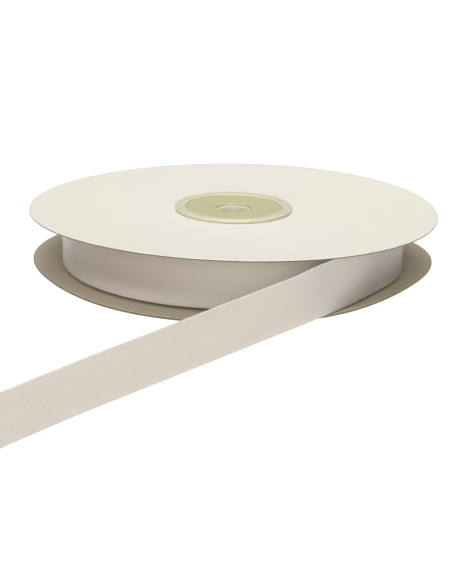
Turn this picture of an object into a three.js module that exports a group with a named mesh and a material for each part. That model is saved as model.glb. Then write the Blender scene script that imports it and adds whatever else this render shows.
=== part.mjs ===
// Roll of satin ribbon on a flat spool: two card flanges on a plastic hub, the wound
// ribbon between them, and its loose end drawn out to the front on its lower edge.
// Millimetres, +Z up. The spool lies flat and its axis is vertical.

import * as THREE from 'three';

// Ribbon
const RIBBON_WIDTH = 15;
const ROLL_RADIUS = 52.5;
const TAIL_THICKNESS = 1;
const TAIL_LENGTH = 164;

// Card flanges
const CARD = 0.5;
const TOP_FLANGE_RADIUS = 62.5;
const BOTTOM_FLANGE_RADIUS = 61.3;

// Hub and its caps
const CORE_RADIUS = 16;
const CORE_WALL = 2;
const CORE_WEB = 2;
const BORE_RADIUS = 4.1;
const SLEEVE_RADIUS = 5.25;
const SLEEVE_DEPTH = 0.7;
const CAP_RADIUS = 18;
const CAP_PLATE = 0.8;
const CAP_RIM_WIDTH = 3.35;
const CAP_RECESS = 0.5;
const CAP_ROUNDING = 0.35;
const CAP_HOLE_RADIUS = 5.55;
const SKIRT_WALL = 1.3;
const SKIRT_DEPTH = 3;

// Space between neighbouring pieces
const GAP = 0.3;

// Heights of the stack, from the surface the spool lies on
const CARD_BOTTOM = CAP_PLATE + GAP;
const ROLL_BOTTOM = CARD_BOTTOM + CARD + GAP;
const ROLL_TOP = ROLL_BOTTOM + RIBBON_WIDTH;
const CAP_TOP = ROLL_TOP + ROLL_BOTTOM;
const MID_HEIGHT = CAP_TOP / 2;

// Form of the bottom flange: it sags past the hub, its rim turns up a little all round and
// curls up at both sides, where each curl falls off faster towards the front
const SAG = 0.7;
const SAG_FROM = 20;
const SAG_TO = 50;
const CURL_FROM = 51;
const CURL_BEND = 2;
const RIM_RISE = 0.25;
const RIGHT_CURL = { rise: 3.35, azimuth: -24, front: 7, back: 2 };
const LEFT_CURL = { rise: 1.9, azimuth: 200, front: 9, back: 2 };

// Form of the top flange: it splays outward, a little higher at the front, and is
// slightly saddle-shaped
const SPLAY = 0.7;
const SPLAY_FROM = 20;
const FRONT_RISE = 0.6;
const SADDLE = 0.43;
const SADDLE_AZIMUTH = 60;

// Course of the loose end: it leaves the roll at a tangent, keeps some of the roll's
// curl, swings back a little and settles onto the surface. It leans back near the rim and
// forward towards its end.
const LEAVE_AZIMUTH = -30.7;
const COURSE_CURL = { turn: -9.9, from: 0, over: 59 };
const COURSE_RETURN = { turn: 5.7, from: 82, over: 80 };
const COURSE_LEAN = { turn: -9.6, from: 18, over: 150 };
const LEAN_BACK = { turn: 5.1, middle: 33, reach: 20 };
const SETTLE = { from: 25, over: 95 };
const COURSE_STEP = 1;
const TAIL_STATIONS = 41;

const ROUND_STEPS = 64;
const HUB_STEPS = 40;
const ROLL_STEPS = 96;

const degrees = THREE.MathUtils.degToRad;

function easeBetween(value, from, over) {
  return THREE.MathUtils.smoothstep(value, from, from + over);
}

// Ring around the spool's axis from a closed profile of [radius, height] pairs.
function turnedRing(profile, steps) {
  const closed = [...profile, profile[0]].map(([radius, height]) => new THREE.Vector2(radius, height));
  return new THREE.LatheGeometry(closed, steps).rotateX(Math.PI / 2);
}

// Raises each point by a height that depends on its radius and azimuth.
function raisePoints(geometry, heightAt) {
  const position = geometry.attributes.position;
  for (let i = 0; i < position.count; i += 1) {
    const x = position.getX(i);
    const y = position.getY(i);
    const rise = heightAt(Math.hypot(x, y), Math.atan2(y, x));
    position.setZ(i, position.getZ(i) + rise);
  }
  geometry.computeVertexNormals();
  return geometry;
}

// Flat card ring with extra circles, so that it can be bent.
function cardRing(outerRadius, bottom, circles) {
  const radii = [CORE_RADIUS - CORE_WALL, ...circles, outerRadius];
  const underside = radii.map((radius) => [radius, bottom]);
  const face = radii.map((radius) => [radius, bottom + CARD]).reverse();
  return turnedRing([...underside, ...face], ROUND_STEPS);
}

// Share of a curl's rise at an azimuth.
function curlShare(curl, azimuth) {
  const middle = degrees(curl.azimuth);
  const facing = Math.max(0, Math.cos(azimuth - middle));
  return facing ** (Math.sin(azimuth) < Math.sin(middle) ? curl.front : curl.back);
}

function bottomFlangeRise(radius, azimuth) {
  const reach = Math.max(0, (radius - CURL_FROM) / (BOTTOM_FLANGE_RADIUS - CURL_FROM));
  let rimRise = RIM_RISE;
  for (const curl of [RIGHT_CURL, LEFT_CURL]) {
    rimRise += curl.rise * curlShare(curl, azimuth);
  }
  return rimRise * reach ** CURL_BEND - SAG * easeBetween(radius, SAG_FROM, SAG_TO - SAG_FROM);
}

function topFlangeRise(radius, azimuth) {
  const reach = Math.max(0, (radius - SPLAY_FROM) / (TOP_FLANGE_RADIUS - SPLAY_FROM));
  const saddle = SADDLE * Math.cos(2 * (azimuth - degrees(SADDLE_AZIMUTH)));
  return (SPLAY - FRONT_RISE * Math.sin(azimuth) + saddle) * reach ** 2;
}

function bottomFlange() {
  const circles = [SAG_FROM, 30, 40, SAG_TO, 54, 57, 59.5];
  return raisePoints(cardRing(BOTTOM_FLANGE_RADIUS, CARD_BOTTOM, circles), bottomFlangeRise);
}

function topFlange() {
  const circles = [SPLAY_FROM, 30, 40, 50, 57];
  return raisePoints(cardRing(TOP_FLANGE_RADIUS, ROLL_TOP + GAP, circles), topFlangeRise);
}

// Plastic core: the wall that the ribbon is wound on, a web, and a sleeve with the bore.
function hubCore() {
  const inner = CORE_RADIUS - CORE_WALL;
  const sleeveTop = CAP_TOP - CAP_RECESS - SLEEVE_DEPTH;
  const sleeveBottom = CAP_TOP - sleeveTop;
  const webBottom = MID_HEIGHT - CORE_WEB / 2;
  const webTop = MID_HEIGHT + CORE_WEB / 2;
  return turnedRing([
    [BORE_RADIUS, sleeveBottom],
    [SLEEVE_RADIUS, sleeveBottom],
    [SLEEVE_RADIUS, webBottom],
    [inner, webBottom],
    [inner, ROLL_BOTTOM],
    [CORE_RADIUS, ROLL_BOTTOM],
    [CORE_RADIUS, ROLL_TOP],
    [inner, ROLL_TOP],
    [inner, webTop],
    [SLEEVE_RADIUS, webTop],
    [SLEEVE_RADIUS, sleeveTop],
    [BORE_RADIUS, sleeveTop],
  ], HUB_STEPS);
}

// Points on a quarter round that turns the corner at [radius, height].
function roundedCorner(radius, height, startAngle) {
  const points = [];
  for (let i = 0; i <= 2; i += 1) {
    const angle = degrees(startAngle + 45 * i);
    points.push([radius + CAP_ROUNDING * Math.cos(angle), height + CAP_ROUNDING * Math.sin(angle)]);
  }
  return points;
}

// Cap: a raised rim round a lower plate with the hole, and a skirt that plugs the core.
function hubCap() {
  const rimInner = CAP_RADIUS - CAP_RIM_WIDTH;
  const plateTop = CAP_TOP - CAP_RECESS;
  const plateBottom = plateTop - CAP_PLATE;
  const skirtRadius = CORE_RADIUS - CORE_WALL - GAP;
  const skirtBottom = plateBottom - SKIRT_DEPTH;
  return turnedRing([
    [CAP_HOLE_RADIUS, plateBottom],
    [skirtRadius - SKIRT_WALL, plateBottom],
    [skirtRadius - SKIRT_WALL, skirtBottom],
    [skirtRadius, skirtBottom],
    [skirtRadius, CAP_TOP - CAP_PLATE],
    [CAP_RADIUS, CAP_TOP - CAP_PLATE],
    ...roundedCorner(CAP_RADIUS - CAP_ROUNDING, CAP_TOP - CAP_ROUNDING, 0),
    ...roundedCorner(rimInner + CAP_ROUNDING, CAP_TOP - CAP_ROUNDING, 90),
    [rimInner, plateTop],
    [CAP_HOLE_RADIUS, plateTop],
  ], HUB_STEPS);
}

// The wound ribbon. Its outline is one turn of a spiral, whose step is where the loose
// end leaves.
function ribbonRoll() {
  const step = TAIL_THICKNESS + GAP;
  const outline = [];
  for (let i = 0; i <= ROLL_STEPS; i += 1) {
    const share = i / ROLL_STEPS;
    const azimuth = degrees(LEAVE_AZIMUTH) + 2 * Math.PI * share;
    const radius = ROLL_RADIUS - step * share;
    outline.push(new THREE.Vector2(radius * Math.cos(azimuth), radius * Math.sin(azimuth)));
  }
  const shape = new THREE.Shape(outline);
  shape.holes.push(new THREE.Path().absarc(0, 0, CORE_RADIUS + GAP, 0, 2 * Math.PI));
  const solid = new THREE.ExtrudeGeometry(shape, {
    depth: RIBBON_WIDTH,
    bevelEnabled: false,
    curveSegments: HUB_STEPS,
  });
  return solid.translate(0, 0, ROLL_BOTTOM);
}

function courseHeading(along) {
  const curl = COURSE_CURL.turn * easeBetween(along, COURSE_CURL.from, COURSE_CURL.over);
  const swing = COURSE_RETURN.turn * easeBetween(along, COURSE_RETURN.from, COURSE_RETURN.over);
  return degrees(LEAVE_AZIMUTH - 90 + curl + swing);
}

// Tilt of the loose end from upright: towards the spool where it is positive.
function courseLean(along) {
  const forward = COURSE_LEAN.turn * easeBetween(along, COURSE_LEAN.from, COURSE_LEAN.over);
  const offset = (along - LEAN_BACK.middle) / LEAN_BACK.reach;
  const back = LEAN_BACK.turn * Math.max(0, 1 - offset ** 2) ** 2;
  return degrees(forward + back);
}

// Foot of the loose end at a distance along it: the point on its lower outer edge, its
// heading and its lean.
function courseAt(along) {
  const leave = degrees(LEAVE_AZIMUTH);
  const foot = new THREE.Vector3(ROLL_RADIUS * Math.cos(leave), ROLL_RADIUS * Math.sin(leave), 0);
  const steps = Math.max(1, Math.round(along / COURSE_STEP));
  const stride = along / steps;
  for (let i = 0; i < steps; i += 1) {
    const heading = courseHeading((i + 0.5) * stride);
    foot.x += stride * Math.cos(heading);
    foot.y += stride * Math.sin(heading);
  }
  foot.z = ROLL_BOTTOM * (1 - easeBetween(along, SETTLE.from, SETTLE.over));
  return { foot, heading: courseHeading(along), lean: courseLean(along) };
}

// The loose end: a strip that stands on its lower edge along the course.
function ribbonTail() {
  const strip = new THREE.BoxGeometry(TAIL_LENGTH, TAIL_THICKNESS, RIBBON_WIDTH, TAIL_STATIONS, 1, 1);
  strip.translate(TAIL_LENGTH / 2, -TAIL_THICKNESS / 2, RIBBON_WIDTH / 2);
  const position = strip.attributes.position;
  for (let i = 0; i < position.count; i += 1) {
    const along = GAP + position.getX(i) * (1 - GAP / TAIL_LENGTH);
    const { foot, heading, lean } = courseAt(along);
    const inward = new THREE.Vector3(Math.sin(heading), -Math.cos(heading), 0);
    const upward = new THREE.Vector3(0, 0, Math.cos(lean)).addScaledVector(inward, Math.sin(lean));
    foot.addScaledVector(inward, -position.getY(i));
    foot.addScaledVector(upward, position.getZ(i));
    position.setXYZ(i, foot.x, foot.y, foot.z);
  }
  strip.computeVertexNormals();
  return strip;
}

const cardMaterial = { color: 0xebe9dc, roughness: 0.85, metalness: 0 };
const hubMaterial = { color: 0xc9c29a, roughness: 0.4, metalness: 0 };
const ribbonMaterial = { color: 0xcfc7bc, roughness: 0.45, metalness: 0 };

function piece(name, geometry, finish) {
  const mesh = new THREE.Mesh(geometry, new THREE.MeshStandardMaterial(finish));
  mesh.name = name;
  return mesh;
}

function bottomCap() {
  const cap = piece('hub_cap_bottom', hubCap(), hubMaterial);
  cap.rotation.x = Math.PI;
  cap.position.z = CAP_TOP;
  return cap;
}

function ribbonSpool() {
  const spool = new THREE.Group();
  spool.add(piece('card_flange_bottom', bottomFlange(), cardMaterial));
  spool.add(piece('card_flange_top', topFlange(), cardMaterial));
  spool.add(piece('hub_core', hubCore(), hubMaterial));
  spool.add(piece('hub_cap_top', hubCap(), hubMaterial));
  spool.add(bottomCap());
  spool.add(piece('ribbon_roll', ribbonRoll(), ribbonMaterial));
  spool.add(piece('ribbon_tail', ribbonTail(), ribbonMaterial));
  return spool;
}

// The origin is at the middle of the whole outline, on the surface it lies on.
function centred(model) {
  const middle = new THREE.Box3().setFromObject(model).getCenter(new THREE.Vector3());
  model.position.set(-middle.x, -middle.y, 0);
  return model;
}

export default centred(ribbonSpool());
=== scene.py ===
# Roll of satin ribbon on a flat card spool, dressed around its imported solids.
# Forms are worked out in millimetres round the spool's axis, which is vertical, and
# put_piece() turns them into metres in the row frame. Heights are above the surface the
# spool lies on. Azimuths run counter-clockwise from +X, seen from above. Materials, the
# camera and the lights are in metres.

import math
import random

import bmesh
import bpy
from mathutils import Matrix, Vector


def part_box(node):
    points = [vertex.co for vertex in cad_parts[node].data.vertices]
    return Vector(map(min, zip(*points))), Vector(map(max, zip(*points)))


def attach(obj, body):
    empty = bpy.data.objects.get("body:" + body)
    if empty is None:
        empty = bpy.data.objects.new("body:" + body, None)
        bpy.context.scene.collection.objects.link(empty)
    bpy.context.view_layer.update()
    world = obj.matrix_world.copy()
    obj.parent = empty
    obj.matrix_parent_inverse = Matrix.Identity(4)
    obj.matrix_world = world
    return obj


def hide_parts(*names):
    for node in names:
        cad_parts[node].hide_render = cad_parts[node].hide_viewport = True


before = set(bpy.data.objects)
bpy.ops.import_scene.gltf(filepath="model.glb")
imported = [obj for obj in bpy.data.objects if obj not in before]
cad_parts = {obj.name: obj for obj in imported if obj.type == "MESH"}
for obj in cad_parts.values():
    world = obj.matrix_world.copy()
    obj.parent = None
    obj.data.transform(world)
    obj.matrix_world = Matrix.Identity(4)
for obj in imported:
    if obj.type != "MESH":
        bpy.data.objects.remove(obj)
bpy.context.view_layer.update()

MM = 0.001

core_low, core_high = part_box("hub_core")
AXIS = Vector(((core_low[0] + core_high[0]) / 2, (core_low[1] + core_high[1]) / 2, 0))

# Ribbon
RIBBON_WIDTH = 15
RIBBON_THICKNESS = 0.17
ROLL_RADIUS = 52.5
ROLL_ROUNDING = 0.08
TAIL_LENGTH = 164
TAIL_ROUNDING = 0.05
SELVEDGE = 0.45
SELVEDGE_SOFTNESS = 0.1

# Turns that show on the roll's two faces: single ones outside and bundles of them further
# in, each a little proud or sunk, with a groove at its edge
FINE_TURNS = 36
COARSE_TURNS = 28
TURN_PROUDNESS = 0.05
TURN_GROOVE = 0.06
TURN_SEED = 7

# Card flanges
CARD = 0.5
CARD_ROUNDING = 0.14
TOP_FLANGE_RADIUS = 62.5
BOTTOM_FLANGE_RADIUS = 61.3

# Hub and its caps
CORE_RADIUS = 16
CORE_WALL = 2
CORE_INNER = CORE_RADIUS - CORE_WALL
CORE_WEB = 2
BORE_RADIUS = 4.1
SLEEVE_RADIUS = 5.25
SLEEVE_DEPTH = 0.7
COLLAR_RADIUS = 5.5
COLLAR_HEIGHT = 0.4
COLLAR_ROUNDING = 0.15
CAP_RADIUS = 18
CAP_PLATE = 0.8
CAP_RIM_WIDTH = 3.35
CAP_RIM_INNER = CAP_RADIUS - CAP_RIM_WIDTH
CAP_RECESS = 0.5
CAP_ROUNDING = 0.38
CAP_FOOT = 0.2
CAP_FOOT_GAP = 0.02
CAP_HOLE_RADIUS = 5.55
CAP_HOLE_ROUNDING = 0.12
SKIRT_WALL = 1.3
SKIRT_DEPTH = 3

# Heights of the stack
GAP = 0.3
CARD_BOTTOM = CAP_PLATE + GAP
ROLL_BOTTOM = CARD_BOTTOM + CARD + GAP
ROLL_TOP = ROLL_BOTTOM + RIBBON_WIDTH
CAP_TOP = ROLL_TOP + ROLL_BOTTOM
MID_HEIGHT = CAP_TOP / 2

# Form of the bottom flange: it sags past the hub, its rim turns up a little all round and
# curls up at both sides, where each curl falls off faster towards the front
SAG = 0.7
SAG_FROM = 20
SAG_TO = 50
CURL_FROM = 51
CURL_BEND = 2
RIM_RISE = 0.25
RIGHT_CURL = {"rise": 3.35, "azimuth": -24, "front": 7, "back": 2}
LEFT_CURL = {"rise": 1.9, "azimuth": 200, "front": 9, "back": 2}

# Form of the top flange: it splays outward, a little higher at the front, and is
# slightly saddle-shaped
SPLAY = 0.7
SPLAY_FROM = 20
SPLAY_BEND = 2
FRONT_RISE = 0.6
SADDLE = 0.43
SADDLE_AZIMUTH = 60

# Course of the loose end. Turns of its heading and its lean are in degrees, and ease in
# over a stretch of its length. It sinks from the roll to the surface as it settles.
LEAVE_AZIMUTH = -30.7
COURSE_CURL = {"turn": -9.9, "start": 0, "over": 59}
COURSE_RETURN = {"turn": 5.7, "start": 82, "over": 80}
COURSE_LEAN = {"turn": -9.6, "start": 18, "over": 150}
LEAN_BACK = {"turn": 5.1, "middle": 33, "reach": 20}
SETTLE = {"start": 25, "over": 95}
COURSE_STEP = 1

# Fineness of the meshes, and the angle from which an edge is shaded sharp
FLANGE_STEPS = 240
FLANGE_CIRCLES = 34
HUB_STEPS = 160
ROLL_STEPS = 200
ROLL_ROWS = 14
TAIL_STATIONS = 110
TAIL_COLUMNS = 16
EDGE_ARC_STEPS = 4
RIM_ARC_STEPS = 8
SHARP_ANGLE = math.radians(50)
TOLERANCE = 0.01

# Material slots: three on the flanges, two on the hub's parts, the second of them with painted
# light
COATED, RAW, CUT = 0, 1, 2
PLAIN, PAINTED_LIT = 0, 1

# Colours of the card: its coating, which is paler in a strip from front to back, its bare
# board, and its cut edges
CREAM = (0.785, 0.757, 0.70, 1)
# Towards both sides the coating is yellower than in its middle strip
CREAM_SIDES = (0.78, 0.768, 0.64, 1)
CREAM_MOTTLE = (0.79, 0.775, 0.68, 1)
CREAM_FIBRE = (0.72, 0.695, 0.60, 1)
CREAM_WORN = (0.60, 0.53, 0.41, 1)
BOARD_DARK = (0.60, 0.53, 0.415, 1)
BOARD_LIGHT = (0.67, 0.605, 0.485, 1)
BOARD_FIBRE = (0.50, 0.435, 0.335, 1)
# The cut edges' brown is darkened well past the board's own with painted shade
CUT_SHADED_DARK = (0.12, 0.095, 0.05, 1)
CUT_SHADED_LIGHT = (0.21, 0.175, 0.105, 1)
SIDES_REACH = 0.05
SIDES_WANDER = 0.02
MOTTLE_SHARE = 0.3
COATED_FIBRE_SHARE = 0.2
RAW_FIBRE_SHARE = 0.5
WEAR_WIDTH = 0.0009
WEAR_SHARE = 0.55
WEAR_CHIPS = (0.48, 0.66)
COATED_ROUGHNESS = (0.5, 0.66)
RAW_ROUGHNESS = (0.75, 0.95)
CUT_ROUGHNESS = 0.85

# Plastics of the hub, each with a light and a dark tone and a roughness that the grain varies
KHAKI = {"light": (0.535, 0.50, 0.275, 1), "dark": (0.495, 0.46, 0.25, 1), "roughness": 0.38}
# The paler plastic is the khaki one lightened with painted light, where light comes through the
# thin plastic and into the holes: the caps' rims and hole walls and the sleeve's collars
LIT_PLASTIC = {"light": (0.66, 0.63, 0.46, 1), "dark": (0.61, 0.58, 0.415, 1), "roughness": 0.3}
NATURAL = {"light": (0.78, 0.74, 0.635, 1), "dark": (0.73, 0.69, 0.585, 1), "roughness": 0.42}
ROUGHNESS_BELOW = 0.06
ROUGHNESS_ABOVE = 0.08

# Satin: the pitches of its threads, how far they drift as angles of their waves, how they add
# up, and its tones
WEAVE_MAP = "Weave"
RIB_PITCH = 0.00036
FLOAT_PITCH = 0.00014
TWILL_PITCH = 0.00075
TWILL_SLOPE = 0.45
RIB_DRIFT = 0.6
RIB_TO_FLOAT = 1.4
TWILL_DRIFT = 2.5
RIB_WEIGHT = 0.6
FLOAT_WEIGHT = 0.4
SATIN_ROUGHNESS = (0.34, 0.48)
SATIN_DARK = (0.55, 0.51, 0.455, 1)
SATIN_LIGHT = (0.62, 0.585, 0.54, 1)
SATIN_THREAD = (0.36, 0.32, 0.27, 1)
SATIN_GROOVE = (0.37, 0.325, 0.27, 1)
SATIN_WOUND = (0.57, 0.49, 0.38, 1)
# Painted shade at the roll's left front and at the bend where the loose end leaves
SATIN_LEFT_SHADE = (0.33, 0.262, 0.215, 1)
SATIN_LEAVING_SHADE = (0.33, 0.27, 0.225, 1)
# Painted light beside the loose end and along the roll's lower edge
SATIN_BESIDE_END_LIGHT = (0.79, 0.72, 0.64, 1)
SATIN_FOOT_LIGHT = (0.80, 0.73, 0.68, 1)
# Painted highlight along the upper selvedge
SATIN_UPPER_HIGHLIGHT = (0.68, 0.64, 0.58, 1)
# Painted glints along the lower selvedge
SATIN_PAINTED_GLINT = (0.92, 0.88, 0.83, 1)

# Where the satin's tones change, along the ribbon from where the loose end leaves the roll
# (negative on the roll) and across it from its lower edge. Each pair says where a soft band
# starts and where it is full. The roll's outer turn is 0.33 long. Its tones make up for light
# in the photo that the lamps don't give: pale beside the loose end and darker at the left.
TWILL_ALONG = (-0.04, 0.02)
SLUBS_ALONG = (-0.01, 0.02)
WOUND_ALONG = (0.0, -0.03)
# Bands of painted light and painted shade on the roll
BESIDE_END_LIGHT_ALONG = (-0.27, -0.295)
LEFT_SHADE_UNTIL = (-0.29, -0.235)
LEFT_SHADE_FROM = (-0.206, -0.22)
LEAVING_SHADE_SLANT = (0.033, 0.012)
LEAVING_SHADE_ALONG = (-0.06, -0.03)
FOOT_LIGHT_ACROSS = (0.006, 0.0)
FOOT_LIGHT_ALONG = (-0.17, -0.2)
# Where the painted highlight along the upper selvedge grows
UPPER_HIGHLIGHT_ACROSS = (0.0, 0.012)
# Where the painted glints lie along the lower selvedge
PAINTED_GLINTS_ACROSS = (0.0026, 0.0004)

# How much of each tone is laid over the ones before it. Pairs are for the roll and the loose
# end, or for the painted highlight at the lower and the upper selvedge.
TWILL_SHARE = 0.26
TWILL_FADE = (0.3, 1.0)
SLUB_SHARES = (0.04, 0.11)
WOUND_SHARE = 0.25
# Shares of the painted light and painted shade on the roll
BESIDE_END_LIGHT_SHARE = 0.4
LEFT_SHADE_SHARE = 0.74
LEAVING_SHADE_SHARE = 0.42
FOOT_LIGHT_SHARE = 0.7
GROOVE_SHARE = 0.12
UPPER_HIGHLIGHT_SHARES = (-0.1, 0.5)
# Share of the painted glints
PAINTED_GLINT_SHARE = 0.35

# Bands of a noise's range that show as slubs and painted glints
SLUB_GRAIN = (0.35, 0.65)
PAINTED_GLINT_GRAIN = (0.52, 0.62)

# Camera, from the spool's axis, in metres and radians. FOCAL_PIXELS is the focal length
# in pixels of a picture that is PICTURE_HEIGHT high.
CAMERA_PLACE = (0, -0.5, 0.14475)
CAMERA_YAW = -0.00361
CAMERA_PITCH = 0.29836
CAMERA_ROLL = 0.02041
FOCAL_PIXELS = 1675.4
PICTURE_HEIGHT = 584
SENSOR = 36
CLIP_START = 0.01
CLIP_END = 20

# Studio: lights with their places from the spool's axis, diameters and watts, and a floor
# that gives off most of its own brightness, so that it is nearly white with faint shadows
LIGHTS = {
    "overhead": {"place": (0, 0.1, 1.2), "size": 1.2, "power": 12.7},
    "front_low": {"place": (0, -1.3, 0.2), "size": 1.0, "power": 9.5},
    "front": {"place": (0, -1.2, 0.7), "size": 1.2, "power": 6},
    "left": {"place": (-1.3, 0.1, 0.5), "size": 1.0, "power": 1.6},
    "back": {"place": (0, 1.2, 0.8), "size": 1.0, "power": 2},
}
SKY_STRENGTH = 0.08
FLOOR_REACH = 6
FLOOR_COLOUR = (0.22, 0.22, 0.219, 1)
FLOOR_GLOW = (1, 1, 0.995, 1)
FLOOR_GLOW_STRENGTH = 0.88


def ease(value, start, over):
    """A smooth rise from 0 at start to 1 a stretch further on."""
    share = min(1, max(0, (value - start) / over))
    return share * share * (3 - 2 * share)


def around(radius, azimuth, height):
    return Vector((radius * math.cos(azimuth), radius * math.sin(azimuth), height))


def arc(radius, height, rounding, start, stop, steps):
    """Points on an arc of a profile, as (radius, height)."""
    points = []
    for i in range(steps + 1):
        angle = math.radians(start + (stop - start) * i / steps)
        points.append((radius + rounding * math.cos(angle), height + rounding * math.sin(angle)))
    return points


def turned(profile, steps, rise=None):
    """Sections of a ring turned round the axis from a closed profile, lifted by rise()."""
    lift = rise or (lambda radius, azimuth: 0)
    sections = []
    for i in range(steps):
        azimuth = 2 * math.pi * i / steps
        sections.append([around(r, azimuth, h + lift(r, azimuth)) for r, h in profile])
    return sections


def put_piece(name, sections, looped, materials, replaced, slot_of=None, uv_of=None):
    """A closed skin over sections, each a closed list of points in millimetres."""
    mesh = bpy.data.meshes.new(name)
    bm = bmesh.new()
    uv = bm.loops.layers.uv.new(WEAVE_MAP)
    rings = [[bm.verts.new(AXIS + point * MM) for point in section] for section in sections]
    count = len(sections)
    across = len(sections[0])
    for i in range(count if looped else count - 1):
        for j in range(across):
            corners = [(i, j), (i + 1, j), (i + 1, j + 1), (i, j + 1)]
            face = bm.faces.new([rings[a % count][b % across] for a, b in corners])
            face.smooth = True
            face.material_index = slot_of(j) if slot_of else 0
            if uv_of:
                for loop, (a, b) in zip(face.loops, corners):
                    loop[uv].uv = uv_of(a, b)
    if not looped:
        for i, ring in ((0, rings[0][::-1]), (count - 1, rings[-1])):
            cap = bm.faces.new(ring)
            for loop in cap.loops:
                loop[uv].uv = uv_of(i, ring.index(loop.vert)) if uv_of else (0, 0)
    bmesh.ops.recalc_face_normals(bm, faces=bm.faces)
    for edge in bm.edges:
        edge.smooth = edge.calc_face_angle() < SHARP_ANGLE
    bm.to_mesh(mesh)
    bm.free()
    piece = bpy.data.objects.new(name, mesh)
    bpy.context.scene.collection.objects.link(piece)
    for material in materials:
        mesh.materials.append(material)
    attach(piece, "root")
    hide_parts(replaced)
    return piece


# Materials


class Shader:
    """A material's node tree, with short ways to add and join nodes."""

    def __init__(self, name):
        self.material = bpy.data.materials.new(name)
        self.material.use_nodes = True
        self.tree = self.material.node_tree
        self.surface = self.tree.nodes["Principled BSDF"]

    def feed(self, node, socket, value):
        """Links or sets an input, given by its name or, in digits, by its number."""
        target = node.inputs[int(socket)] if socket.isdigit() else node.inputs[socket]
        if isinstance(value, bpy.types.NodeSocket):
            self.tree.links.new(value, target)
        else:
            target.default_value = value

    def add(self, kind, settings=None, **inputs):
        node = self.tree.nodes.new(kind)
        for key, value in (settings or {}).items():
            setattr(node, key, value)
        for key, value in inputs.items():
            self.feed(node, key.replace("_", " "), value)
        return node

    def dress(self, **inputs):
        """Feeds the surface and gives back the finished material."""
        for key, value in inputs.items():
            self.feed(self.surface, key.replace("_", " "), value)
        return self.material

    def math(self, operation, first, second=0.0):
        node = self.add("ShaderNodeMath", {"operation": operation})
        self.feed(node, "0", first)
        self.feed(node, "1", second)
        return node.outputs[0]

    def plus(self, first, second):
        return self.math("ADD", first, second)

    def times(self, first, second):
        return self.math("MULTIPLY", first, second)

    def wave(self, way, pitch, shift):
        """A sine from -1 to 1 over a way, shifted by an angle."""
        return self.math("SINE", self.plus(self.times(way, 2 * math.pi / pitch), shift))

    def remap(self, value, low, high):
        """The range 0 to 1 spread over low to high, and cut off at both."""
        node = self.add("ShaderNodeMapRange", Value=value)
        node.inputs["To Min"].default_value = low
        node.inputs["To Max"].default_value = high
        return node.outputs["Result"]

    def band(self, value, start, full):
        """A smooth step from 0 at start to 1 at full, which may be the lower of the two."""
        node = self.add("ShaderNodeMapRange", {"interpolation_type": "SMOOTHSTEP"}, Value=value)
        node.inputs["From Min"].default_value = start
        node.inputs["From Max"].default_value = full
        return node.outputs["Result"]

    def blend(self, share, first, second):
        node = self.add("ShaderNodeMix", {"data_type": "RGBA"})
        self.feed(node, "0", share)
        self.feed(node, "6", first)
        self.feed(node, "7", second)
        return node.outputs[2]

    def stretch(self, place, scale):
        return self.add("ShaderNodeMapping", Vector=place, Scale=scale).outputs[0]

    def place(self, scale=(1, 1, 1)):
        return self.stretch(self.add("ShaderNodeTexCoord").outputs["Object"], scale)

    def grain(self, place, scale, detail=3.0):
        node = self.add("ShaderNodeTexNoise", Vector=place, Scale=scale, Detail=detail)
        return node.outputs["Fac"]

    def relief(self, height, distance, strength=1.0, under=None):
        node = self.add("ShaderNodeBump", Height=height, Strength=strength, Distance=distance)
        if under:
            self.feed(node, "Normal", under)
        return node.outputs[0]


def coated_card():
    """Smooth cream coating over board: a faint mottle, fibres under it and a worn rim."""
    s = Shader("coated_card")
    place = s.place()
    mottle = s.grain(place, scale=38.0)
    fibre = s.grain(s.place((1, 6, 1)), scale=900.0, detail=4.0)

    sideways = s.add("ShaderNodeSeparateXYZ", Vector=place).outputs[0]
    wander = s.remap(s.grain(place, scale=17.0, detail=1.0), -SIDES_WANDER, SIDES_WANDER)
    towards_sides = s.band(s.math("ABSOLUTE", s.plus(sideways, wander)), 0.0, SIDES_REACH)
    cream = s.blend(towards_sides, CREAM, CREAM_SIDES)
    cream = s.blend(s.remap(mottle, 0.0, MOTTLE_SHARE), cream, CREAM_MOTTLE)
    cream = s.blend(s.remap(fibre, 0.0, COATED_FIBRE_SHARE), cream, CREAM_FIBRE)

    centred = s.add("ShaderNodeMapping", Vector=place, Location=-AXIS, Scale=(1, 1, 0))
    length = s.add("ShaderNodeVectorMath", {"operation": "LENGTH"}, Vector=centred.outputs[0])
    rim = TOP_FLANGE_RADIUS * MM
    near_rim = s.band(length.outputs["Value"], rim - WEAR_WIDTH, rim)
    chips = s.band(s.grain(place, scale=800.0), *WEAR_CHIPS)
    worn = s.times(s.times(near_rim, chips), WEAR_SHARE)

    clouds = s.relief(mottle, distance=0.00008, strength=0.3)
    return s.dress(
        Base_Color=s.blend(worn, cream, CREAM_WORN),
        Roughness=s.remap(mottle, *COATED_ROUGHNESS),
        Normal=s.relief(fibre, distance=0.00004, strength=0.35, under=clouds),
    )


def raw_board():
    """Uncoated grey-brown board: the inner faces of the flanges."""
    s = Shader("raw_board")
    cloud = s.grain(s.place(), scale=60.0)
    fibre = s.grain(s.place((1, 4, 1)), scale=1500.0, detail=5.0)
    tone = s.blend(cloud, BOARD_DARK, BOARD_LIGHT)
    return s.dress(
        Base_Color=s.blend(s.remap(fibre, 0.0, RAW_FIBRE_SHARE), tone, BOARD_FIBRE),
        Roughness=s.remap(fibre, *RAW_ROUGHNESS),
        Normal=s.relief(fibre, distance=0.00005, strength=0.6),
    )


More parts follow.
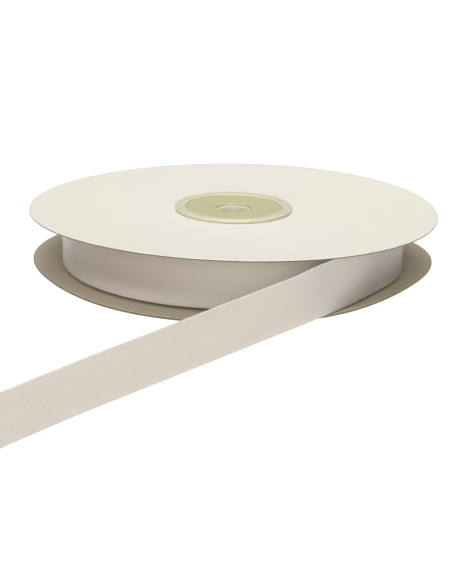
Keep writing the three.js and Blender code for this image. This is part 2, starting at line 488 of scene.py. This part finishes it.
def cut_board_shaded():
    """The flanges' cut edges: the board's layers show as fine brown lines, darkened with painted
    shade.
    """
    s = Shader("cut_board_shaded")
    layers = s.grain(s.place((1, 1, 30)), scale=260.0)
    return s.dress(
        Base_Color=s.blend(layers, CUT_SHADED_DARK, CUT_SHADED_LIGHT),
        Roughness=CUT_ROUGHNESS,
        Normal=s.relief(layers, distance=0.00004, strength=0.5),
    )


def hub_plastic(name, light, dark, roughness):
    """Moulded plastic with a fine spark-eroded grain and faint flow clouds."""
    s = Shader(name)
    cloud = s.grain(s.place(), scale=140.0, detail=2.0)
    sparks = s.grain(s.place(), scale=5200.0, detail=2.0)
    return s.dress(
        Base_Color=s.blend(cloud, dark, light),
        Roughness=s.remap(sparks, roughness - ROUGHNESS_BELOW, roughness + ROUGHNESS_ABOVE),
        Normal=s.relief(sparks, distance=0.00002, strength=0.35),
        Subsurface_Weight=0.7,
        Subsurface_Radius=(1.0, 0.95, 0.7),
        Subsurface_Scale=0.0016,
    )


def satin_threads(s, weave, along, across):
    """Weft ribs across the ribbon and warp floats along it, from -1 to 1."""
    drift = s.remap(s.grain(weave, scale=420.0, detail=2.0), -RIB_DRIFT, RIB_DRIFT)
    rib = s.remap(s.wave(along, RIB_PITCH, drift), -1.0, 1.0)
    floats = s.wave(across, FLOAT_PITCH, s.times(rib, RIB_TO_FLOAT))
    return s.plus(s.times(rib, RIB_WEIGHT), s.times(floats, FLOAT_WEIGHT))


def satin_weave_tone(s, weave, along, across, streaks):
    """Streaks along the ribbon, then a diagonal twill and slubs, strongest on the loose end."""
    tone = s.blend(streaks, SATIN_DARK, SATIN_LIGHT)
    diagonal = s.math("SUBTRACT", along, s.times(across, TWILL_SLOPE))
    uneven = s.remap(s.grain(weave, scale=900.0, detail=2.0), -TWILL_DRIFT, TWILL_DRIFT)
    twill = s.remap(s.wave(diagonal, TWILL_PITCH, uneven), 0.0, TWILL_SHARE)
    twill_fade = s.remap(s.band(along, *TWILL_ALONG), *TWILL_FADE)
    tone = s.blend(s.times(twill, twill_fade), tone, SATIN_THREAD)
    slub_grain = s.grain(s.stretch(weave, (9, 1, 1)), scale=420.0, detail=2.0)
    slub_share = s.remap(s.band(along, *SLUBS_ALONG), *SLUB_SHARES)
    return s.blend(s.times(s.band(slub_grain, *SLUB_GRAIN), slub_share), tone, SATIN_THREAD)


def satin_winding_tone(s, along, across, tone):
    """Tones that vary softly along the roll's outer turn, in place of light and shadow.

    The whole roll is a little browner. Painted shade makes it darker at the left front and at the
    bend where the loose end leaves, and painted light makes it paler behind the loose end and
    along its lower edge."""
    slant = s.plus(along, across)
    # Painted shade at the left front and at the bend, and painted light along the roll's lower
    # edge
    left_shade = s.times(s.band(along, *LEFT_SHADE_UNTIL), s.band(along, *LEFT_SHADE_FROM))
    leaving_shade = s.times(s.band(slant, *LEAVING_SHADE_SLANT), s.band(along, *LEAVING_SHADE_ALONG))
    foot = s.times(s.band(across, *FOOT_LIGHT_ACROSS), s.band(along, *FOOT_LIGHT_ALONG))
    changes = (
        (s.band(along, *WOUND_ALONG), WOUND_SHARE, SATIN_WOUND),
        (s.band(along, *BESIDE_END_LIGHT_ALONG), BESIDE_END_LIGHT_SHARE, SATIN_BESIDE_END_LIGHT),
        (left_shade, LEFT_SHADE_SHARE, SATIN_LEFT_SHADE),
        (leaving_shade, LEAVING_SHADE_SHARE, SATIN_LEAVING_SHADE),
        (foot, FOOT_LIGHT_SHARE, SATIN_FOOT_LIGHT),
    )
    for mask, share, colour in changes:
        tone = s.blend(s.times(mask, share), tone, colour)
    return tone


def satin():
    """Warp-faced satin with plain selvedges: painted highlight on the upper, painted glints on the
    lower.
    """
    s = Shader("satin")
    weave = s.add("ShaderNodeUVMap", {"uv_map": WEAVE_MAP}).outputs[0]
    ways = s.add("ShaderNodeSeparateXYZ", Vector=weave)
    along, across = ways.outputs[0], ways.outputs[1]
    threads = satin_threads(s, weave, along, across)
    streaks = s.grain(s.stretch(weave, (1, 9, 1)), scale=26.0, detail=4.0)
    half_width = RIBBON_WIDTH / 2
    from_middle = s.math("ABSOLUTE", s.math("SUBTRACT", across, half_width * MM))
    selvedge = s.band(
        from_middle,
        (half_width - SELVEDGE - SELVEDGE_SOFTNESS) * MM,
        (half_width - SELVEDGE + SELVEDGE_SOFTNESS) * MM,
    )

    tone = satin_weave_tone(s, weave, along, across, streaks)
    tone = satin_winding_tone(s, along, across, tone)
    tone = s.blend(s.remap(threads, 0.0, GROOVE_SHARE), tone, SATIN_GROOVE)
    # Painted highlight along the upper selvedge
    upper_highlight = s.times(selvedge, s.remap(s.band(across, *UPPER_HIGHLIGHT_ACROSS), *UPPER_HIGHLIGHT_SHARES))
    tone = s.blend(upper_highlight, tone, SATIN_UPPER_HIGHLIGHT)
    # Painted glints along the lower selvedge
    sparks = s.grain(s.stretch(weave, (1, 1.6, 1)), scale=3000.0, detail=1.0)
    painted_glints = s.times(s.band(sparks, *PAINTED_GLINT_GRAIN), s.band(across, *PAINTED_GLINTS_ACROSS))
    tone = s.blend(s.times(painted_glints, PAINTED_GLINT_SHARE), tone, SATIN_PAINTED_GLINT)

    tangent = s.add("ShaderNodeTangent", {"direction_type": "UV_MAP", "uv_map": WEAVE_MAP})
    step = s.relief(selvedge, distance=0.00006, strength=0.7)
    return s.dress(
        Base_Color=tone,
        Roughness=s.remap(streaks, *SATIN_ROUGHNESS),
        Normal=s.relief(threads, distance=0.000012, strength=0.6, under=step),
        Tangent=tangent.outputs[0],
        Anisotropic=0.55,
        Sheen_Weight=0.25,
        Sheen_Roughness=0.4,
        Specular_IOR_Level=0.5,
        Subsurface_Weight=0.8,
        Subsurface_Radius=(1.0, 0.9, 0.75),
        Subsurface_Scale=0.0006,
    )


# Card flanges


def curl_share(curl, azimuth):
    """How much of a curl's rise an azimuth has."""
    middle = math.radians(curl["azimuth"])
    facing = max(0, math.cos(azimuth - middle))
    return facing ** curl["front" if math.sin(azimuth) < math.sin(middle) else "back"]


def bottom_flange_rise(radius, azimuth):
    reach = max(0, (radius - CURL_FROM) / (BOTTOM_FLANGE_RADIUS - CURL_FROM))
    rim_rise = RIM_RISE
    for curl in (RIGHT_CURL, LEFT_CURL):
        rim_rise += curl["rise"] * curl_share(curl, azimuth)
    return rim_rise * reach**CURL_BEND - SAG * ease(radius, SAG_FROM, SAG_TO - SAG_FROM)


def top_flange_rise(radius, azimuth):
    reach = max(0, (radius - SPLAY_FROM) / (TOP_FLANGE_RADIUS - SPLAY_FROM))
    saddle = SADDLE * math.cos(2 * (azimuth - math.radians(SADDLE_AZIMUTH)))
    return (SPLAY - FRONT_RISE * math.sin(azimuth) + saddle) * reach**SPLAY_BEND


def card_flange(name, outer, bottom, rise, coated_above, materials, replaced):
    """A flange of card with one coated side. On the upper one the coating laps over the edge."""
    face_end = outer - CARD_ROUNDING
    step = (face_end - CORE_INNER) / FLANGE_CIRCLES
    radii = [CORE_INNER + step * i for i in range(FLANGE_CIRCLES)]
    edge = arc(face_end, bottom + CARD_ROUNDING, CARD_ROUNDING, -90, 0, EDGE_ARC_STEPS)
    edge += arc(face_end, bottom + CARD - CARD_ROUNDING, CARD_ROUNDING, 0, 90, EDGE_ARC_STEPS)
    underside = [(radius, bottom) for radius in radii]
    face = [(radius, bottom + CARD) for radius in reversed(radii)]
    profile = underside + edge + face
    edge_start, edge_stop = len(underside), len(underside) + len(edge) - 1

    def side(j):
        if edge_start <= j < edge_stop:
            lapped = coated_above and profile[j][1] > bottom + CARD / 2
            return COATED if lapped else CUT
        above = j >= edge_stop
        return COATED if above == coated_above else RAW

    sections = turned(profile, FLANGE_STEPS, rise)
    return put_piece(name, sections, True, materials, replaced, side)


# Hub


def hub_core(materials):
    """Tube, web and sleeve, whose collars close the holes of the caps and carry painted light."""
    sleeve_top = CAP_TOP - CAP_RECESS - SLEEVE_DEPTH
    sleeve_bottom = CAP_TOP - sleeve_top
    web_bottom = MID_HEIGHT - CORE_WEB / 2
    web_top = MID_HEIGHT + CORE_WEB / 2
    lip = COLLAR_ROUNDING
    profile = [
        (BORE_RADIUS, sleeve_bottom + lip),
        (BORE_RADIUS + lip, sleeve_bottom),
        (COLLAR_RADIUS - lip, sleeve_bottom),
        (COLLAR_RADIUS, sleeve_bottom + lip),
        (SLEEVE_RADIUS, sleeve_bottom + COLLAR_HEIGHT),
        (SLEEVE_RADIUS, web_bottom),
        (CORE_INNER, web_bottom),
        (CORE_INNER, ROLL_BOTTOM),
        (CORE_RADIUS, ROLL_BOTTOM),
        (CORE_RADIUS, ROLL_TOP),
        (CORE_INNER, ROLL_TOP),
        (CORE_INNER, web_top),
        (SLEEVE_RADIUS, web_top),
        (SLEEVE_RADIUS, sleeve_top - COLLAR_HEIGHT),
        *arc(COLLAR_RADIUS - lip, sleeve_top - lip, lip, 0, 90, EDGE_ARC_STEPS),
        *arc(BORE_RADIUS + lip, sleeve_top - lip, lip, 90, 180, EDGE_ARC_STEPS),
    ]

    def collar(j):
        height = profile[j][1]
        on_collar = height > sleeve_top - COLLAR_HEIGHT / 2 or height < sleeve_bottom + lip / 2
        return PAINTED_LIT if on_collar and j < len(profile) - 1 else PLAIN

    sections = turned(profile, HUB_STEPS)
    return put_piece("core_turned", sections, True, materials, "hub_core", collar)


def cap_profile():
    """The upper cap, from its hole out along the underside and back over the rim.

    Two rings just inside the plateau's edges keep its shading flat."""
    plate_top = CAP_TOP - CAP_RECESS
    plate_bottom = plate_top - CAP_PLATE
    skirt_outer = CORE_INNER - GAP
    skirt_inner = skirt_outer - SKIRT_WALL
    skirt_bottom = plate_bottom - SKIRT_DEPTH
    under = ROLL_TOP + GAP + CARD + CAP_FOOT_GAP
    rim_top = CAP_TOP - CAP_ROUNDING
    hole_edge = CAP_HOLE_RADIUS + CAP_HOLE_ROUNDING
    fillet_width = 0.06
    fillet_height = 0.03
    margin = 0.25
    return [
        (CAP_HOLE_RADIUS, plate_bottom),
        (skirt_inner, plate_bottom),
        (skirt_inner, skirt_bottom),
        (skirt_outer, skirt_bottom),
        (skirt_outer, under),
        (CAP_RADIUS - CAP_FOOT, under),
        (CAP_RADIUS, under + CAP_FOOT),
        *arc(CAP_RADIUS - CAP_ROUNDING, rim_top, CAP_ROUNDING, 0, 90, RIM_ARC_STEPS),
        *arc(CAP_RIM_INNER + CAP_ROUNDING, rim_top, CAP_ROUNDING, 90, 180, RIM_ARC_STEPS),
        (CAP_RIM_INNER, plate_top + fillet_height),
        (CAP_RIM_INNER - fillet_width, plate_top),
        (CAP_RIM_INNER - margin, plate_top),
        (hole_edge + margin, plate_top),
        *arc(hole_edge, plate_top - CAP_HOLE_ROUNDING, CAP_HOLE_ROUNDING, 90, 180, EDGE_ARC_STEPS),
    ]


def hub_cap(name, materials, replaced, below=False):
    """A cap with a plain plateau, whose rim and hole wall carry painted light."""
    profile = cap_profile()
    rim = [radius > CAP_RIM_INNER - TOLERANCE for radius, _ in profile]
    wall = [radius < CAP_HOLE_RADIUS + TOLERANCE for radius, _ in profile]

    def plate_or_rim(j):
        following = (j + 1) % len(profile)
        painted_lit = rim[j] and rim[following] or wall[j] and wall[following]
        return PAINTED_LIT if painted_lit else PLAIN

    if below:
        profile = [(radius, CAP_TOP - height) for radius, height in profile]
    sections = turned(profile, HUB_STEPS)
    return put_piece(name, sections, True, materials, replaced, plate_or_rim)


# Ribbon


def turn_edges():
    """Depths of the turns' edges from the roll's outside, and how proud each turn is."""
    rng = random.Random(TURN_SEED)
    fine = [RIBBON_THICKNESS * i for i in range(1, FINE_TURNS)]
    rest = ROLL_RADIUS - CORE_RADIUS - GAP - RIBBON_THICKNESS * FINE_TURNS
    coarse = [fine[-1] + rest * i / COARSE_TURNS for i in range(1, COARSE_TURNS)]
    return [(depth, rng.uniform(-TURN_PROUDNESS, TURN_PROUDNESS)) for depth in fine + coarse]


def wound_face(turns, outer, height, sign, share):
    """Part of a profile over one face of the roll: each turn's groove, then its crest.

    Over a full round, share 0 to 1, each turn becomes the next, as on a spiral."""
    points = []
    for n, (depth, proud) in enumerate(turns):
        following = turns[min(n + 1, len(turns) - 1)][1]
        crest = proud + (following - proud) * share
        points.append((outer - depth, height + sign * (crest - TURN_GROOVE)))
        middle = depth + RIBBON_THICKNESS / 2
        points.append((outer - middle, height + sign * crest / 2))
    return points


def ribbon_roll(material):
    """The wound ribbon: one spiral step outside, fine turns over both faces."""
    turns = turn_edges()
    inner = CORE_RADIUS + GAP
    wall = [ROLL_BOTTOM + RIBBON_WIDTH * i / ROLL_ROWS for i in range(1, ROLL_ROWS)]
    leave = math.radians(LEAVE_AZIMUTH)
    sections = []
    for i in range(ROLL_STEPS + 1):
        share = i / ROLL_STEPS
        azimuth = leave + 2 * math.pi * share
        outer = ROLL_RADIUS - RIBBON_THICKNESS * share
        profile = [(outer - ROLL_ROUNDING, ROLL_BOTTOM), (outer, ROLL_BOTTOM + ROLL_ROUNDING)]
        profile += [(outer, height) for height in wall]
        profile += [(outer, ROLL_TOP - ROLL_ROUNDING), (outer - ROLL_ROUNDING, ROLL_TOP)]
        profile += wound_face(turns, outer, ROLL_TOP, 1, share)
        profile += [(inner, ROLL_TOP), (inner, ROLL_BOTTOM)]
        profile += reversed(wound_face(turns, outer, ROLL_BOTTOM, -1, share))
        sections.append([around(r, azimuth, h) for r, h in profile])
    heights = [point.z for point in sections[0]]

    def weave_at(i, j):
        turned_by = 2 * math.pi * i / ROLL_STEPS
        up = heights[j % len(heights)] - ROLL_BOTTOM
        return (-turned_by * ROLL_RADIUS * MM, up * MM)

    return put_piece(
        "roll_wound", sections, False, (material,), "ribbon_roll", uv_of=weave_at
    )


def course_heading(along):
    curl = COURSE_CURL["turn"] * ease(along, COURSE_CURL["start"], COURSE_CURL["over"])
    swing = COURSE_RETURN["turn"] * ease(along, COURSE_RETURN["start"], COURSE_RETURN["over"])
    return math.radians(LEAVE_AZIMUTH - 90 + curl + swing)


def course_lean(along):
    """Tilt of the loose end from upright: towards the spool where it is positive."""
    forward = COURSE_LEAN["turn"] * ease(along, COURSE_LEAN["start"], COURSE_LEAN["over"])
    offset = (along - LEAN_BACK["middle"]) / LEAN_BACK["reach"]
    back = LEAN_BACK["turn"] * max(0, 1 - offset**2) ** 2
    return math.radians(forward + back)


def course_at(along):
    """Foot of the loose end at a distance along it, its heading and its lean."""
    foot = around(ROLL_RADIUS, math.radians(LEAVE_AZIMUTH), 0)
    steps = max(1, round(along / COURSE_STEP))
    stride = along / steps
    for i in range(steps):
        heading = course_heading((i + 0.5) * stride)
        foot += stride * Vector((math.cos(heading), math.sin(heading), 0))
    foot.z = ROLL_BOTTOM * (1 - ease(along, SETTLE["start"], SETTLE["over"]))
    return foot, course_heading(along), course_lean(along)


def ribbon_tail(material):
    """The loose end: a thin strip with rounded selvedges, standing on its lower edge."""
    half = RIBBON_THICKNESS / 2
    rows = [RIBBON_WIDTH * j / TAIL_COLUMNS for j in range(1, TAIL_COLUMNS)]
    low, high = TAIL_ROUNDING, RIBBON_WIDTH - TAIL_ROUNDING
    outline = [(0, half)]
    outline += [(low, 0), *[(row, 0) for row in rows], (high, 0)]
    outline += [(RIBBON_WIDTH, half), (high, 2 * half)]
    outline += [*[(row, 2 * half) for row in reversed(rows)], (low, 2 * half)]
    sections = []
    for i in range(TAIL_STATIONS + 1):
        foot, heading, lean = course_at(TAIL_LENGTH * i / TAIL_STATIONS)
        inward = Vector((math.sin(heading), -math.cos(heading), 0))
        upward = Vector((0, 0, math.cos(lean))) + inward * math.sin(lean)
        sections.append([foot + upward * up + inward * depth for up, depth in outline])

    def weave_at(i, j):
        up, _ = outline[j % len(outline)]
        return (TAIL_LENGTH * i / TAIL_STATIONS * MM, up * MM)

    return put_piece(
        "loose_end", sections, False, (material,), "ribbon_tail", uv_of=weave_at
    )


# Studio


def camera():
    data = bpy.data.cameras.new("camera")
    data.sensor_width = SENSOR
    data.lens = FOCAL_PIXELS / PICTURE_HEIGHT * SENSOR
    data.clip_start = CLIP_START
    data.clip_end = CLIP_END
    sine, level = math.sin(CAMERA_PITCH), math.cos(CAMERA_PITCH)
    forward = Vector((math.sin(CAMERA_YAW) * level, math.cos(CAMERA_YAW) * level, -sine))
    flat_right = Vector((math.cos(CAMERA_YAW), -math.sin(CAMERA_YAW), 0))
    flat_up = flat_right.cross(forward)
    right = math.cos(CAMERA_ROLL) * flat_right + math.sin(CAMERA_ROLL) * flat_up
    up = math.cos(CAMERA_ROLL) * flat_up - math.sin(CAMERA_ROLL) * flat_right
    turn = Matrix((right, up, -forward)).transposed()
    eye = bpy.data.objects.new("camera", data)
    eye.matrix_world = Matrix.Translation(AXIS + Vector(CAMERA_PLACE)) @ turn.to_4x4()
    bpy.context.scene.collection.objects.link(eye)
    bpy.context.scene.camera = eye


def floor():
    mesh = bpy.data.meshes.new("floor")
    signs = ((-1, -1), (1, -1), (1, 1), (-1, 1))
    corners = [(x * FLOOR_REACH, y * FLOOR_REACH, 0) for x, y in signs]
    mesh.from_pydata(corners, [], [(0, 1, 2, 3)])
    plane = bpy.data.objects.new("floor", mesh)
    bpy.context.scene.collection.objects.link(plane)
    surface = Shader("studio_floor").dress(
        Base_Color=FLOOR_COLOUR,
        Roughness=0.9,
        Specular_IOR_Level=0.1,
        Emission_Color=FLOOR_GLOW,
        Emission_Strength=FLOOR_GLOW_STRENGTH,
    )
    mesh.materials.append(surface)


def soft_light(name, place, size, power):
    """A round soft light, aimed at the spool's axis."""
    data = bpy.data.lights.new(name, "AREA")
    data.shape = "DISK"
    data.size = size
    data.energy = power
    lamp = bpy.data.objects.new(name, data)
    lamp.location = AXIS + Vector(place)
    lamp.rotation_mode = "QUATERNION"
    lamp.rotation_quaternion = (-Vector(place)).to_track_quat("-Z", "Y")
    bpy.context.scene.collection.objects.link(lamp)


def studio():
    world = bpy.data.worlds.new("studio")
    world.use_nodes = True
    sky = world.node_tree.nodes["Background"]
    sky.inputs["Color"].default_value = (1, 1, 1, 1)
    sky.inputs["Strength"].default_value = SKY_STRENGTH
    bpy.context.scene.world = world
    bpy.context.scene.view_settings.view_transform = "Standard"
    for name, light in LIGHTS.items():
        soft_light(name, **light)
    floor()


camera()
card = (coated_card(), raw_board(), cut_board_shaded())
khaki = hub_plastic("khaki_plastic", **KHAKI)
# The hub's plastic lightened with painted light, for the caps' rims and hole walls and the
# sleeve's collars
lit_plastic = hub_plastic("lit_plastic_painted", **LIT_PLASTIC)
natural = hub_plastic("natural_plastic", **NATURAL)
ribbon = satin()
card_flange(
    "flange_below", BOTTOM_FLANGE_RADIUS, CARD_BOTTOM, bottom_flange_rise, False, card,
    "card_flange_bottom",
)
card_flange(
    "flange_above", TOP_FLANGE_RADIUS, ROLL_TOP + GAP, top_flange_rise, True, card,
    "card_flange_top",
)
hub_core((natural, lit_plastic))
hub_cap("cap_above", (khaki, lit_plastic), "hub_cap_top")
hub_cap("cap_below", (khaki, lit_plastic), "hub_cap_bottom", below=True)
ribbon_roll(ribbon)
loose_end = ribbon_tail(ribbon)
studio()
